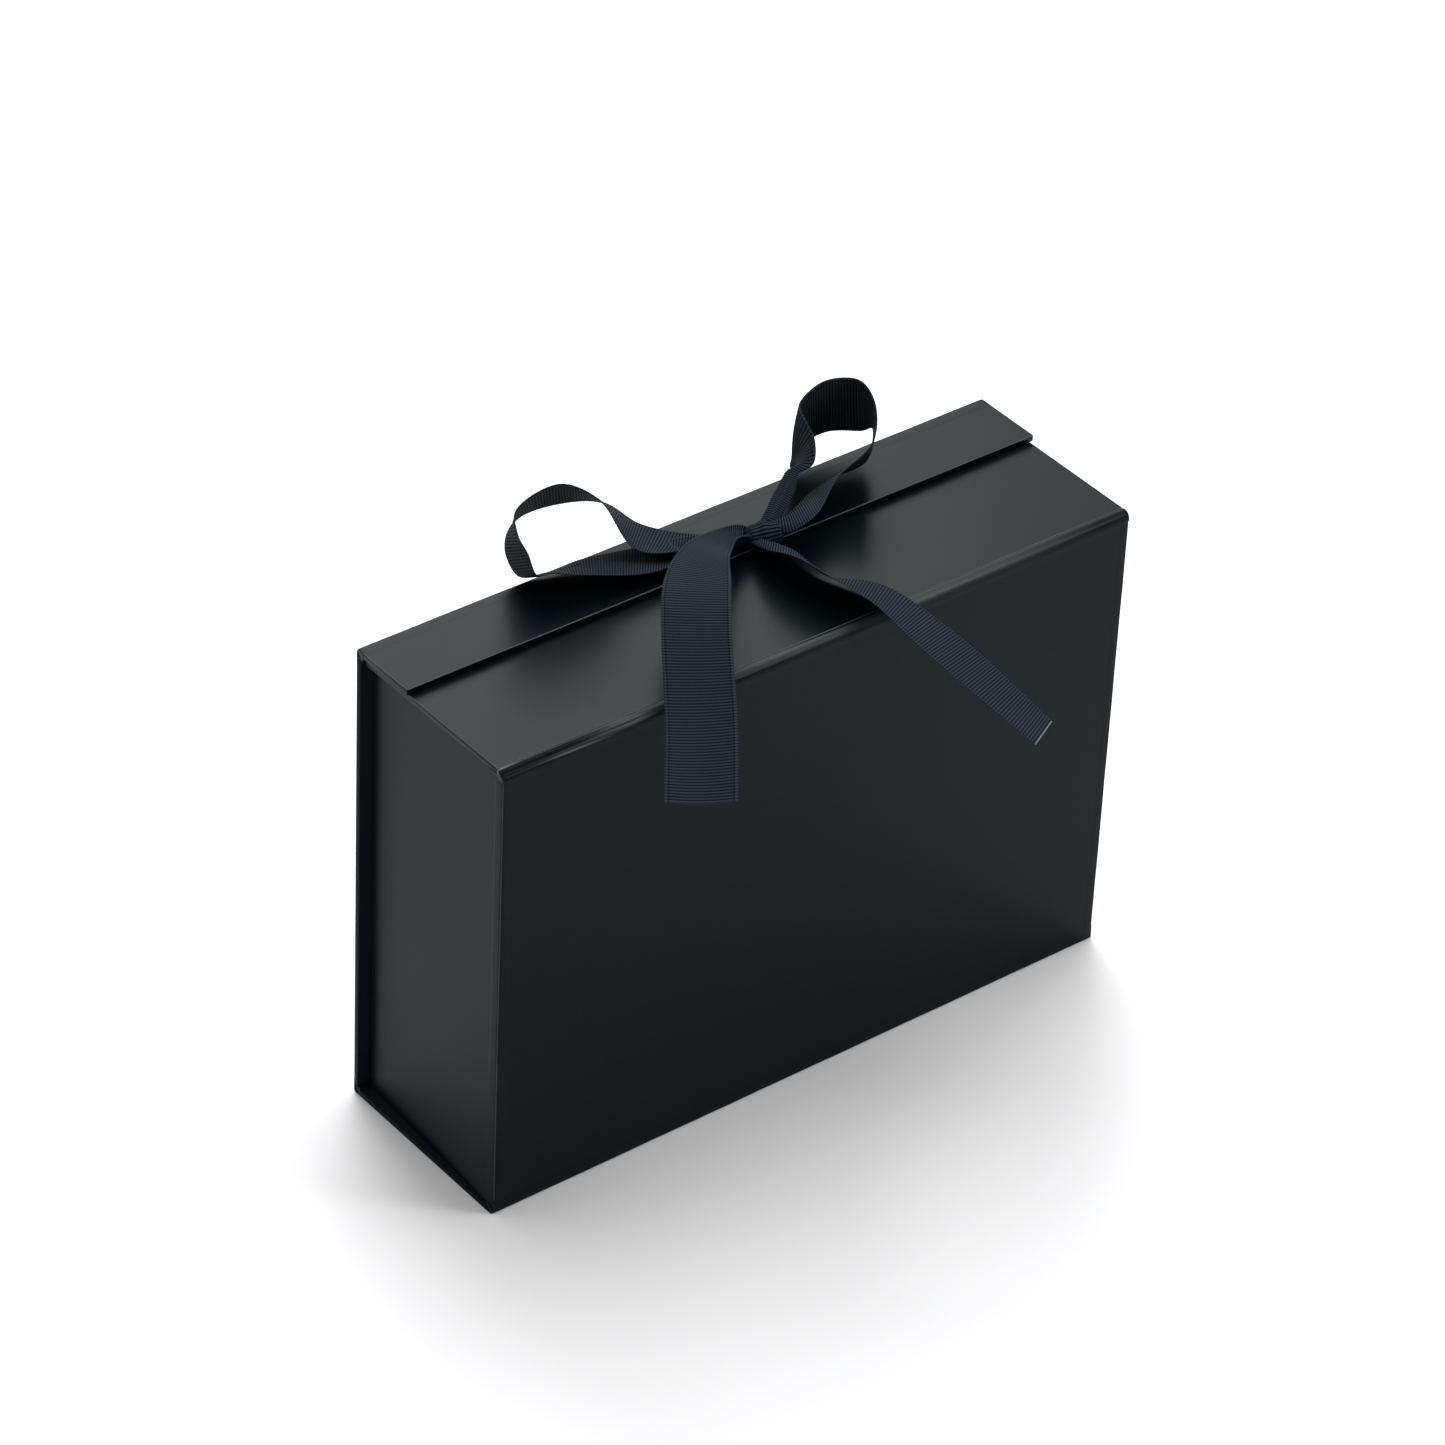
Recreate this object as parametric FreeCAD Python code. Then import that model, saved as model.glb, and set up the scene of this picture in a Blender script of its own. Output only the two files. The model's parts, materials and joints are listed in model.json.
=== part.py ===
import FreeCAD
import Part
import math
import os

# Fold-flat gift box with a magnetic flap and a tied ribbon, in millimetres.
# The box stands on its spine: X runs along the spine, the base panel faces -Y, the lid faces +Y and Z is up.
# The origin is the middle of the spine's underside.

# Outside of the case
case_width = 224.0
case_depth = 68.0
case_height = 157.5
flap_length = 24.0

# Wrapped board
board_thickness = 1.6
wrap_thickness = 0.2
lining_thickness = 0.2

# Paper folds: the slack is the room left between a fold and the corner of its boards
fold_slack = 1.0
side_fold_slack = 0.2

# Tray inside the case
front_wall_recess = 0.8
side_wall_recess = 0.5
fold_to_side_wall = 0.1
lid_to_side_wall = 2.0
lid_to_front_wall = 1.0
flap_to_front_wall = 0.3

# Degrees that each side wall leans inwards from its upright fold
wall_lean = 2.6

# Corner tabs that hold the side walls, and their tape
tab_length = 18.0
tab_thickness = 0.6
tab_margin = 6.0
tape_thickness = 0.15
tape_margin = 2.0

# Magnets in the flap and steel plates in the front wall
magnet_radius = 5.0
magnet_thickness = 1.0
magnet_from_middle = 72.0
magnet_from_lid = 13.0
magnet_clearance = 0.1

# Ribbon and knot
ribbon_width = 20.0
ribbon_thickness = 0.6
knot_from_middle = 13.0
knot_from_flap_edge = 0.8
knot_above_flap = 3.6
knot_length = 10.0
knot_radius = 4.6
knot_end_radius = 3.4
knot_lift = 0.6
seat_gap = 0.3

# Ribbon end that is glued into the flap
anchor_width = 10.0
anchor_thickness = 0.8
anchor_glue_length = 9.0
anchor_glue_thickness = 0.5
anchor_from_knot = 2.4
anchor_clearance = 0.3

# Values that follow from those above
panel_thickness = wrap_thickness + board_thickness + lining_thickness
fold_radius = panel_thickness + fold_slack
side_fold_radius = panel_thickness + side_fold_slack
strip_thickness = wrap_thickness + lining_thickness

half_width = case_width / 2
half_depth = case_depth / 2
tray_top = case_height - panel_thickness - flap_to_front_wall
side_face = half_width - side_wall_recess
front_wall_end = half_width - front_wall_recess
flap_edge = half_depth - flap_length
tray_floor = panel_thickness
tray_ceiling = tray_top - panel_thickness
wall_front = -half_depth + side_fold_radius + fold_to_side_wall
wall_back = half_depth - panel_thickness - lid_to_side_wall

knot_centre = FreeCAD.Vector(
    knot_from_middle,
    flap_edge + knot_from_flap_edge,
    case_height + knot_above_flap,
)

# The bow is laid out in steps of a twentieth of the ribbon's width, so that it grows with the ribbon.
steps_per_width = 20
bow_step = ribbon_width / steps_per_width

# Ribbon stations, only where a ribbon's course changes: place from the knot's centre in steps (x, y, z),
# bearing and tilt in degrees of the direction across the ribbon, and the share of the full width that is left
# by the gathers.
left_loop_stations = [
    (-15, 4, 1, 40, -20, 0.5),
    (-26, 11, 0, 40, -15, 0.9),
    (-34, 16, 3, 45, -15, 1),
    (-42, 22, 14, 50, -35, 1),
    (-54, 26, 19, 50, -50, 1),
    (-67, 28, 16, 50, -40, 1),
    (-71, 25, 12, 65, -35, 1),
    (-72, 21, 8, 75, -35, 1),
    (-71, 17, 3, 70, -35, 1),
    (-66, 15, 3, 60, -35, 1),
    (-55, 13, 2, 55, -22, 1),
    (-34, 9, -1, 50, -10, 0.9),
    (-18, 6, -2, 45, -5, 0.55),
]
right_loop_stations = [
    (14, 10, 4, -60, 25, 0.25),
    (21, 14, 5, -90, 40, 0.35),
    (24, 15, 5, -100, 45, 0.75),
    (27, 18, 7, -95, 55, 1),
    (29, 24, 9, -110, 80, 1),
    (33, 26, 11, -140, 75, 1),
    (42, 26, 12, -150, 80, 1),
    (50, 21, 12, -150, 80, 1),
    (49, 13, 11, -130, 65, 1),
    (42, 6, 6, -125, 55, 1),
    (30, 6, 4, -125, 35, 1),
    (18, 1, 3, -120, 20, 0.95),
    (10, -1, 2, -120, 15, 0.6),
]
front_tail_stations = [
    (-10, -1, 5, 65, -10, 0.45),
    (-18, -3, 6, 70, -15, 0.8),
    (-32, -13, 12, 95, -15, 1),
    (-46, -27, 14, 125, -10, 1),
    (-55, -39, 9, 130, -10, 1),
    (-68, -59, -5, 135, -10, 1),
    (-80, -75, -16, 140, -5, 1),
]
side_tail_stations = [
    (-2, -10, 1, 50, -25, 0.75),
    (-2, -15, 2, 50, -30, 1),
    (0, -28, 1, 50, -35, 1),
    (7, -42, 0, 40, -20, 1),
    (14, -62, -8, 25, -15, 1),
    (29, -91, -28, 35, -15, 1),
]

# Where each loop's strand leaves an end of the knot: the end, the angle round the knot's axis, then the
# bearing, tilt and share as above
left_upper_root = (-1, 60, 80, -15, 0.25)
left_lower_root = (-1, -50, 85, -10, 0.25)
right_upper_root = (1, 40, -90, 25, 0.25)
right_lower_root = (1, 140, -105, 50, 0.25)

# Where each tail leaves the knot's round side: steps along the axis from its middle, the angle round it,
# then the bearing, tilt and share as above
front_tail_root = (-2, 130, 100, 40, 0.25)
side_tail_root = (0.5, 195, 20, -25, 0.3)


def block(low, high):
    """An upright box between two opposite corners."""
    size = high - low
    return Part.makeBox(size.x, size.y, size.z, low)


def corner(x, y, z):
    return FreeCAD.Vector(x, y, z)


def shift_axis(point, axis, amount):
    """The point moved along one of the three axes."""
    moved = FreeCAD.Vector(point)
    moved[axis] += amount
    return moved


def wrapped_panel(low, high, axis, outward):
    """The wrap, board and lining of a panel whose outer face looks along an axis (0, 1 or 2), + or -."""
    inner_low = FreeCAD.Vector(low)
    inner_high = FreeCAD.Vector(high)
    for side in range(3):
        if side != axis:
            inner_low[side] += wrap_thickness
            inner_high[side] -= wrap_thickness
    if outward > 0:
        inner_high[axis] -= wrap_thickness
        board_low = shift_axis(inner_low, axis, lining_thickness)
        board_high = FreeCAD.Vector(inner_high)
        lining_low = FreeCAD.Vector(inner_low)
        lining_high = shift_axis(inner_high, axis, -board_thickness)
    else:
        inner_low[axis] += wrap_thickness
        board_low = FreeCAD.Vector(inner_low)
        board_high = shift_axis(inner_high, axis, -lining_thickness)
        lining_low = shift_axis(inner_low, axis, board_thickness)
        lining_high = FreeCAD.Vector(inner_high)
    wrap = block(low, high).cut(block(inner_low, inner_high))
    board = block(board_low, board_high)
    lining = block(lining_low, lining_high)
    return {"wrap": wrap, "board": board, "lining": lining}


def fold_strip(centre, start, run, radius):
    """A quarter-round paper strip: its section starts in one direction, turns 90 degrees about run, and is
    drawn along run."""
    along = FreeCAD.Vector(run).normalize()
    turn = along.cross(start)
    middle = (start + turn).normalize()
    inner = radius - strip_thickness
    outer = [centre + way * radius for way in (start, middle, turn)]
    inside = [centre + way * inner for way in (start, middle, turn)]
    outer_arc = Part.Arc(*outer).toShape()
    inner_arc = Part.Arc(*inside).toShape()
    first = Part.LineSegment(inside[0], outer[0]).toShape()
    last = Part.LineSegment(inside[2], outer[2]).toShape()
    section = Part.Face(Part.Wire(Part.__sortEdges__([outer_arc, last, inner_arc, first])))
    return section.extrude(run)


def disc(place, radius, height):
    return Part.makeCylinder(radius, height, place)


def across(bearing, tilt):
    """The unit direction across a ribbon, from its bearing in plan and its tilt above level."""
    turn = math.radians(bearing)
    lift = math.radians(tilt)
    return FreeCAD.Vector(math.cos(lift) * math.cos(turn), math.cos(lift) * math.sin(turn), math.sin(lift))


def placed(stations):
    """Stations as (centre, direction across, width) in the part's frame."""
    return [
        (knot_centre + FreeCAD.Vector(x, y, z) * bow_step, across(bearing, tilt), ribbon_width * share)
        for x, y, z, bearing, tilt, share in stations
    ]


def knot_root(root):
    """The station where a loop's strand meets an end of the knot."""
    side, angle, bearing, tilt, share = root
    reach = knot_end_radius / 2
    offset = FreeCAD.Vector(
        side * (knot_length / 2 + seat_gap + ribbon_thickness / 2),
        reach * math.cos(math.radians(angle)),
        reach * math.sin(math.radians(angle)),
    )
    return knot_centre + offset, across(bearing, tilt), ribbon_width * share


def tail_root(root):
    """The station where a tail leaves the knot's round side."""
    along, angle, bearing, tilt, share = root
    reach = knot_radius + seat_gap + ribbon_thickness / 2
    offset = FreeCAD.Vector(
        along * bow_step,
        reach * math.cos(math.radians(angle)),
        reach * math.sin(math.radians(angle)),
    )
    return knot_centre + offset, across(bearing, tilt), ribbon_width * share


def halfway(before, start, end, after):
    """The middle of a smooth curve from start to end, which also heeds the values before and after them."""
    return ((start + end) * 9 - (before + after)) / 16


def flowing(stations):
    """The stations with one more between each two, at the middle of a smooth curve through them."""
    last = len(stations) - 1
    course = []
    for index in range(last):
        before = stations[max(index - 1, 0)]
        after = stations[min(index + 2, last)]
        near = (before, stations[index], stations[index + 1], after)
        centre, cross, width = (halfway(*values) for values in zip(*near))
        course.append(stations[index])
        course.append((centre, cross.normalize(), min(width, ribbon_width)))
    course.append(stations[last])
    return course


def ribbon(stations):
    """A flat ribbon: a ruled loft through thin rectangles set across the line of the stations."""
    sections = []
    course = flowing(stations)
    last = len(course) - 1
    for index, (centre, cross, width) in enumerate(course):
        before = course[max(index - 1, 0)][0]
        after = course[min(index + 1, last)][0]
        face = (after - before).cross(cross).normalize()
        half_span = cross * (width / 2)
        half_skin = face * (ribbon_thickness / 2)
        corners = [
            centre - half_span - half_skin,
            centre + half_span - half_skin,
            centre + half_span + half_skin,
            centre - half_span + half_skin,
        ]
        sections.append(Part.makePolygon(corners + corners[:1]))
    return Part.makeLoft(sections, True, True)


def knot_barrel():
    """The knot: a barrel along X, flat underneath where it sits on the ribbon end out of the flap."""
    start = knot_centre - FreeCAD.Vector(knot_length / 2, 0, 0)
    end = knot_centre + FreeCAD.Vector(knot_length / 2, 0, 0)
    rim = FreeCAD.Vector(0, 0, knot_end_radius)
    crown = knot_centre + FreeCAD.Vector(0, 0, knot_radius)
    profile = Part.Wire(
        [
            Part.LineSegment(start, start + rim).toShape(),
            Part.Arc(start + rim, crown, end + rim).toShape(),
            Part.LineSegment(end + rim, end).toShape(),
            Part.LineSegment(end, start).toShape(),
        ]
    )
    barrel = Part.Face(profile).revolve(knot_centre, FreeCAD.Vector(1, 0, 0), 360)
    seat = case_height + knot_lift
    reach = FreeCAD.Vector(knot_length, knot_radius * 2, 0)
    below = block(
        corner(0, 0, seat - knot_radius * 2) + FreeCAD.Vector(knot_centre.x, knot_centre.y, 0) - reach,
        corner(0, 0, seat) + FreeCAD.Vector(knot_centre.x, knot_centre.y, 0) + reach,
    )
    return barrel.cut(below)


def leaned(shape, side):
    """A piece of the left (-1) or right (1) side wall, turned inwards about the wall's upright fold."""
    pivot = corner(side * side_face, wall_front, 0)
    return shape.rotated(pivot, corner(0, 0, 1), side * wall_lean)


def side_wall(side):
    """The layers of the left (-1) or right (1) side wall."""
    low_x, high_x = sorted((side * side_face, side * (side_face - panel_thickness)))
    layers = wrapped_panel(
        corner(low_x, wall_front, tray_floor), corner(high_x, wall_back, tray_ceiling), 0, side
    )
    return {name: leaned(layer, side) for name, layer in layers.items()}


def make_panels():
    """Seven wrapped boards, by panel name."""
    return {
        "spine": wrapped_panel(
            corner(-half_width, -half_depth + fold_radius, 0),
            corner(half_width, half_depth - fold_radius, panel_thickness),
            2, -1,
        ),
        "base": wrapped_panel(
            corner(-side_face + side_fold_radius, -half_depth, fold_radius),
            corner(side_face - side_fold_radius, -half_depth + panel_thickness, tray_top - fold_radius),
            1, -1,
        ),
        "front_wall": wrapped_panel(
            corner(-front_wall_end, -half_depth + fold_radius, tray_ceiling),
            corner(front_wall_end, half_depth - panel_thickness - lid_to_front_wall, tray_top),
            2, 1,
        ),
        "left_wall": side_wall(-1),
        "right_wall": side_wall(1),
        "lid": wrapped_panel(
            corner(-half_width, half_depth - panel_thickness, fold_radius),
            corner(half_width, half_depth, case_height - fold_radius),
            1, 1,
        ),
        "flap": wrapped_panel(
            corner(-half_width, flap_edge, case_height - panel_thickness),
            corner(half_width, half_depth - fold_radius, case_height),
            2, 1,
        ),
    }


def make_folds():
    """Six paper folds: four along X at the case's long edges, two upright at the base's ends."""
    toward_y = FreeCAD.Vector(0, 1, 0)
    up = FreeCAD.Vector(0, 0, 1)
    toward_x = FreeCAD.Vector(1, 0, 0)
    long_run = FreeCAD.Vector(case_width, 0, 0)
    tray_run = FreeCAD.Vector(2 * side_face, 0, 0)
    upright_run = FreeCAD.Vector(0, 0, tray_top - 2 * fold_radius)
    front = -half_depth + fold_radius
    back = half_depth - fold_radius
    side_front = -half_depth + side_fold_radius
    side_end = side_face - side_fold_radius
    return {
        "base_front_fold": fold_strip(
            corner(-side_face, front, tray_top - fold_radius), up, tray_run, fold_radius
        ),
        "base_spine_fold": fold_strip(
            corner(-half_width, front, fold_radius), -toward_y, long_run, fold_radius
        ),
        "spine_lid_fold": fold_strip(corner(-half_width, back, fold_radius), -up, long_run, fold_radius),
        "lid_flap_fold": fold_strip(
            corner(-half_width, back, case_height - fold_radius), toward_y, long_run, fold_radius
        ),
        "base_left_fold": fold_strip(
            corner(-side_end, side_front, fold_radius), -toward_x, upright_run, side_fold_radius
        ),
        "base_right_fold": fold_strip(
            corner(side_end, side_front, fold_radius), -toward_y, upright_run, side_fold_radius
        ),
    }


def make_tabs():
    """Corner tabs at the top and bottom of each side wall, and the tape between each tab and its panel."""
    low_y = wall_front + tab_margin
    high_y = wall_back - tab_margin
    wall_face = side_face - panel_thickness
    tab_reach = wall_face - tab_length
    tape_near = wall_face - tape_margin
    tape_far = tab_reach + tape_margin
    shelves = [
        (tray_floor + tape_thickness, tray_floor),
        (tray_ceiling - tape_thickness - tab_thickness, tray_ceiling - tape_thickness),
    ]
    tabs = {-1: [], 1: []}
    tapes = []
    for tab_bottom, tape_bottom in shelves:
        for side in tabs:
            tab_low_x, tab_high_x = sorted((side * wall_face, side * tab_reach))
            tape_low_x, tape_high_x = sorted((side * tape_near, side * tape_far))
            tab = block(
                corner(tab_low_x, low_y, tab_bottom), corner(tab_high_x, high_y, tab_bottom + tab_thickness)
            )
            tape = block(
                corner(tape_low_x, low_y + tape_margin, tape_bottom),
                corner(tape_high_x, high_y - tape_margin, tape_bottom + tape_thickness),
            )
            tabs[side].append(leaned(tab, side))
            tapes.append(leaned(tape, side))
    return {
        "left_wall_tabs": Part.Compound(tabs[-1]),
        "right_wall_tabs": Part.Compound(tabs[1]),
        "tab_tapes": Part.Compound(tapes),
    }


def fit_magnets(panels):
    """Pockets for the magnets in the flap's board and for the steel plates in the front wall's board."""
    y = half_depth - magnet_from_lid
    flap_seat = case_height - panel_thickness + lining_thickness
    wall_seat = tray_top - wrap_thickness - magnet_thickness
    magnets = []
    plates = []
    for x in (-magnet_from_middle, magnet_from_middle):
        magnets.append(disc(corner(x, y, flap_seat), magnet_radius, magnet_thickness))
        plates.append(disc(corner(x, y, wall_seat), magnet_radius, magnet_thickness))
        pocket_radius = magnet_radius + magnet_clearance
        flap_pocket = disc(corner(x, y, flap_seat), pocket_radius, magnet_thickness)
        wall_pocket = disc(corner(x, y, wall_seat), pocket_radius, magnet_thickness)
        panels["flap"]["board"] = panels["flap"]["board"].cut(flap_pocket)
        panels["front_wall"]["board"] = panels["front_wall"]["board"].cut(wall_pocket)
    return {"flap_magnets": Part.Compound(magnets), "front_wall_plates": Part.Compound(plates)}


def fit_anchor(panels):
    """The ribbon end: it comes up through a slot in the flap and is glued between its board and lining."""
    half = anchor_width / 2
    front = knot_centre.y + anchor_from_knot - anchor_thickness
    glue_floor = case_height - panel_thickness + lining_thickness
    glue_top = glue_floor + anchor_glue_thickness
    back = front + anchor_thickness + anchor_glue_length
    top = case_height + knot_lift
    x = knot_centre.x
    upright = block(corner(x - half, front, glue_floor), corner(x + half, front + anchor_thickness, top))
    glued = block(corner(x - half, front + anchor_thickness, glue_floor), corner(x + half, back, glue_top))
    room = FreeCAD.Vector(anchor_clearance, anchor_clearance, 0)
    slot = block(
        corner(x - half, front, glue_floor) - room,
        corner(x + half, front + anchor_thickness, case_height) + room,
    )
    pocket = block(
        corner(x - half, front, glue_floor) - room,
        corner(x + half, back, glue_top) + room,
    )
    panels["flap"]["wrap"] = panels["flap"]["wrap"].cut(slot)
    panels["flap"]["board"] = panels["flap"]["board"].cut(slot).cut(pocket)
    return {"ribbon_anchor": upright.fuse(glued).removeSplitter()}


def make_bow():
    """The knot, two loops and two tails."""
    left = [knot_root(left_upper_root)] + placed(left_loop_stations) + [knot_root(left_lower_root)]
    right = [knot_root(right_upper_root)] + placed(right_loop_stations) + [knot_root(right_lower_root)]
    front = [tail_root(front_tail_root)] + placed(front_tail_stations)
    side = [tail_root(side_tail_root)] + placed(side_tail_stations)
    return {
        "bow_knot": knot_barrel(),
        "left_loop": ribbon(left),
        "right_loop": ribbon(right),
        "front_tail": ribbon(front),
        "side_tail": ribbon(side),
    }


panels = make_panels()
nodes = {}
nodes.update(fit_magnets(panels))
nodes.update(fit_anchor(panels))
nodes.update(make_folds())
nodes.update(make_tabs())
nodes.update(make_bow())
for panel_name, layers in panels.items():
    for layer_name, layer in layers.items():
        nodes[panel_name + "_" + layer_name] = layer

os.makedirs("parts", exist_ok=True)
for node_name, shape in nodes.items():
    shape.exportStep("parts/" + node_name + ".step")
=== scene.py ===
import json
import math

import bpy
import numpy as np
from mathutils import Matrix, Vector

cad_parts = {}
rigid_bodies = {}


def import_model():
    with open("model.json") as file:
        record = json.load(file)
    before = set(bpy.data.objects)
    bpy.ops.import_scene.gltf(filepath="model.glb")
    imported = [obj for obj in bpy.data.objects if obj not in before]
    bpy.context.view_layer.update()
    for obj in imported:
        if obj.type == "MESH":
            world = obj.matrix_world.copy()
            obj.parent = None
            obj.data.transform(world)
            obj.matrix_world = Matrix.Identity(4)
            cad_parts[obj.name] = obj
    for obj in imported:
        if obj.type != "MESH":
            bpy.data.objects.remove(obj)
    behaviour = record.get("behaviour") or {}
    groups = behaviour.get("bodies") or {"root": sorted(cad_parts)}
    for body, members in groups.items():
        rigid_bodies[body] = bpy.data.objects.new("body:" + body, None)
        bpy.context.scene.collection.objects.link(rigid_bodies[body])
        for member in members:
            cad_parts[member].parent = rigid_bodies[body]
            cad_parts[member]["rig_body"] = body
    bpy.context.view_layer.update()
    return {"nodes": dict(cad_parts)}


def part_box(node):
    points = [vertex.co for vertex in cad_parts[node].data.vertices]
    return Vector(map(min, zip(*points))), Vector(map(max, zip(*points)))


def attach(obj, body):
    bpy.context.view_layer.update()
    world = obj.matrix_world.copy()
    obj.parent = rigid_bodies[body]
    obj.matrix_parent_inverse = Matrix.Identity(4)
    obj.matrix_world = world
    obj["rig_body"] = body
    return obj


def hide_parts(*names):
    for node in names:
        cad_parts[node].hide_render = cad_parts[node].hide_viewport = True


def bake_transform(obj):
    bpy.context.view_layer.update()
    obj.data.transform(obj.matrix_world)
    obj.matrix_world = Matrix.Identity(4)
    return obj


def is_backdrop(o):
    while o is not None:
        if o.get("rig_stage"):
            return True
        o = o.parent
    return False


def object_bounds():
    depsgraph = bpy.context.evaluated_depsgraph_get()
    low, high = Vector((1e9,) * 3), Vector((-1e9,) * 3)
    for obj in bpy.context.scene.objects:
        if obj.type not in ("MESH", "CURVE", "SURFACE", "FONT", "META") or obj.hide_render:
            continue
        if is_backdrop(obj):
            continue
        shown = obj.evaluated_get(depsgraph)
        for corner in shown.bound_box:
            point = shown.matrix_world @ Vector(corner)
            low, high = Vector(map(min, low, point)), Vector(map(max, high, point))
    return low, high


bl_info = {
    "name": "Ribbon Gift Box",
    "version": (1, 0, 0),
    "blender": (4, 5, 0),
    "location": "View3D > Sidebar > Gift Box",
    "description": "Covers a fold-flat gift box with wrapped paper and ties its ribbon bow",
    "category": "Object",
}

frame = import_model()

# One millimetre in metres, the unit of the frame.
MM = 0.001

# Each wrapped board: the axis that its outer face looks along, and which way.
PANELS = {
    "spine": (2, -1),
    "base": (1, -1),
    "front_wall": (2, 1),
    "left_wall": (0, -1),
    "right_wall": (0, 1),
    "lid": (1, 1),
    "flap": (2, 1),
}

# Degrees that each side wall leans inwards from its upright fold.
WALL_LEAN = 2.6

# Each paper fold: the axis that it runs along, the way from its centre to its corner on the other two axes,
# and the bodies that the boards on either side of it belong to.
FOLDS = {
    "base_front_fold": (0, (-1, 1), "tray", "tray"),
    "base_spine_fold": (0, (-1, -1), "tray", "tray"),
    "spine_lid_fold": (0, (1, -1), "tray", "lid"),
    "lid_flap_fold": (0, (1, 1), "lid", "flap"),
    "base_left_fold": (2, (-1, -1), "tray", "tray"),
    "base_right_fold": (2, (1, -1), "tray", "tray"),
}

# The share of the ribbon's width that is left in the knot, and in the anchor under it.
KNOT_SHARE = 0.52
ANCHOR_SHARE = 0.51

# Ribbon stations, only where a ribbon's course changes, in millimetres from the knot's centre: x, y and z of
# the middle, the bearing and tilt in degrees of the direction across, the share of the full width that shows
# there, and the degrees that the ribbon curls across.
LEFT_LOOP = [
    (-2, 1, -1, 45, -20, 0.25, 150),
    (-15, 4, -1, 40, -20, 0.6, 90),
    (-26, 11, -1, 40, -15, 0.95, 40),
    (-34, 16, 3, 45, -15, 1, 0),
    (-42, 22, 14, 50, -35, 1, 0),
    (-54, 26, 19, 50, -50, 1, 0),
    (-67, 28, 16, 50, -40, 1, 0),
    (-71, 25, 12, 65, -35, 1, 0),
    (-72, 21, 8, 75, -35, 1, 0),
    (-71, 17, 3, 70, -35, 1, 0),
    (-66, 15, 3, 60, -35, 1, 0),
    (-55, 13, 2, 55, -22, 1, 0),
    (-34, 9, -1, 50, -10, 1, 0),
    (-18, 6, -2, 45, -5, 0.6, -70),
    (-2, 1, -2, 45, -20, 0.25, -120),
]
RIGHT_LOOP = [
    (1, 1, 2, -60, 20, 0.25, -190),
    (13, 9, 4, -60, 25, 0.34, -120),
    (20, 14, 5, -90, 40, 0.38, -110),
    (24, 15, 5, -100, 45, 0.8, -60),
    (27, 18, 7, -95, 55, 1, 0),
    (29, 24, 9, -110, 80, 1, -25),
    (33, 26, 11, -140, 75, 1, -10),
    (42, 26, 13, -150, 80, 1, 0),
    (50, 21, 13, -150, 80, 1, 0),
    (49, 13, 14, -130, 55, 1, 0),
    (42, 6, 8, -125, 48, 1, 0),
    (30, 6, 4, -125, 35, 1, 0),
    (18, 1, 3, -120, 20, 1, 10),
    (8, -1, 2, -120, 15, 0.6, 70),
    (3, -1, 2, -125, 10, 0.25, 150),
]
FRONT_TAIL = [
    (-3, 1, -1, 55, -10, 0.2, 120),
    (-8, 2, 1, 55, -15, 0.5, 75),
    (-18, -3, 5, 70, -15, 0.85, 35),
    (-32, -13, 12, 95, -15, 1, 0),
    (-46, -27, 14, 125, -10, 1, 0),
    (-55, -39, 9, 130, -10, 1, 10),
    (-68, -59, -5, 135, -10, 1, 25),
    (-80, -75, -16, 140, -5, 1, 35),
]
SIDE_TAIL = [
    (-4, 3, -2, 50, -20, 0.25, 60),
    (-4, -6, 1, 50, -25, 0.7, 30),
    (-2, -15, 2, 50, -30, 1, 0),
    (0, -28, 1, 50, -35, 1, 0),
    (7, -42, 0, 40, -20, 1, 0),
    (14, -62, -8, 25, -15, 1, 0),
    (29, -91, -28, 35, -15, 1, 0),
]
ANCHOR = [
    (0, 11, -5, 0, 0, ANCHOR_SHARE, 0),
    (0, 4, -5, 0, 0, ANCHOR_SHARE, 0),
    (0, 2, -4, 0, 0, ANCHOR_SHARE, 0),
    (0, 2, -2, 0, 0, ANCHOR_SHARE, 0),
]


class GiftBoxPaper(bpy.types.PropertyGroup):
    colour: bpy.props.FloatVectorProperty(
        name="Paper colour", description="Base colour of the matte laminated wrap", subtype="COLOR",
        default=(0.0026, 0.0046, 0.0062), min=0, max=1,
    )
    roughness: bpy.props.FloatProperty(
        name="Roughness", description="Roughness of the matte lamination", subtype="FACTOR", default=0.34,
        min=0, max=1,
    )
    gloss: bpy.props.FloatProperty(
        name="Gloss", description="How strongly the lamination mirrors light", subtype="FACTOR",
        default=0.07, min=0, max=1,
    )
    # The pale rim colour is a painted highlight on the rounded edges and folds, partly rub wear.
    rub_and_highlight_colour: bpy.props.FloatVectorProperty(
        name="Rim colour", description="Colour of the paper's rubbed edges and painted highlights", subtype="COLOR",
        default=(0.12, 0.125, 0.13), min=0, max=1,
    )
    lining_colour: bpy.props.FloatVectorProperty(
        name="Lining colour", description="Base colour of the paper inside the box", subtype="COLOR",
        default=(0.011, 0.0138, 0.0175), min=0, max=1,
    )
    lining_roughness: bpy.props.FloatProperty(
        name="Lining roughness", description="Roughness of the plain paper inside", subtype="FACTOR",
        default=0.7, min=0, max=1,
    )
    lining_gloss: bpy.props.FloatProperty(
        name="Lining gloss", description="How strongly the plain paper mirrors light", subtype="FACTOR",
        default=0.004, min=0, max=1,
    )
    edge_radius: bpy.props.FloatProperty(
        name="Edge radius", description="Rounding of the paper over a board's edges", unit="LENGTH",
        default=0.25 * MM, min=0.1 * MM, max=1 * MM, precision=5,
    )
    crease_depth: bpy.props.FloatProperty(
        name="Crease depth", description="How deep the paper dips beside a fold", unit="LENGTH",
        default=0.15 * MM, min=0, max=1 * MM, precision=5,
    )


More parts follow.
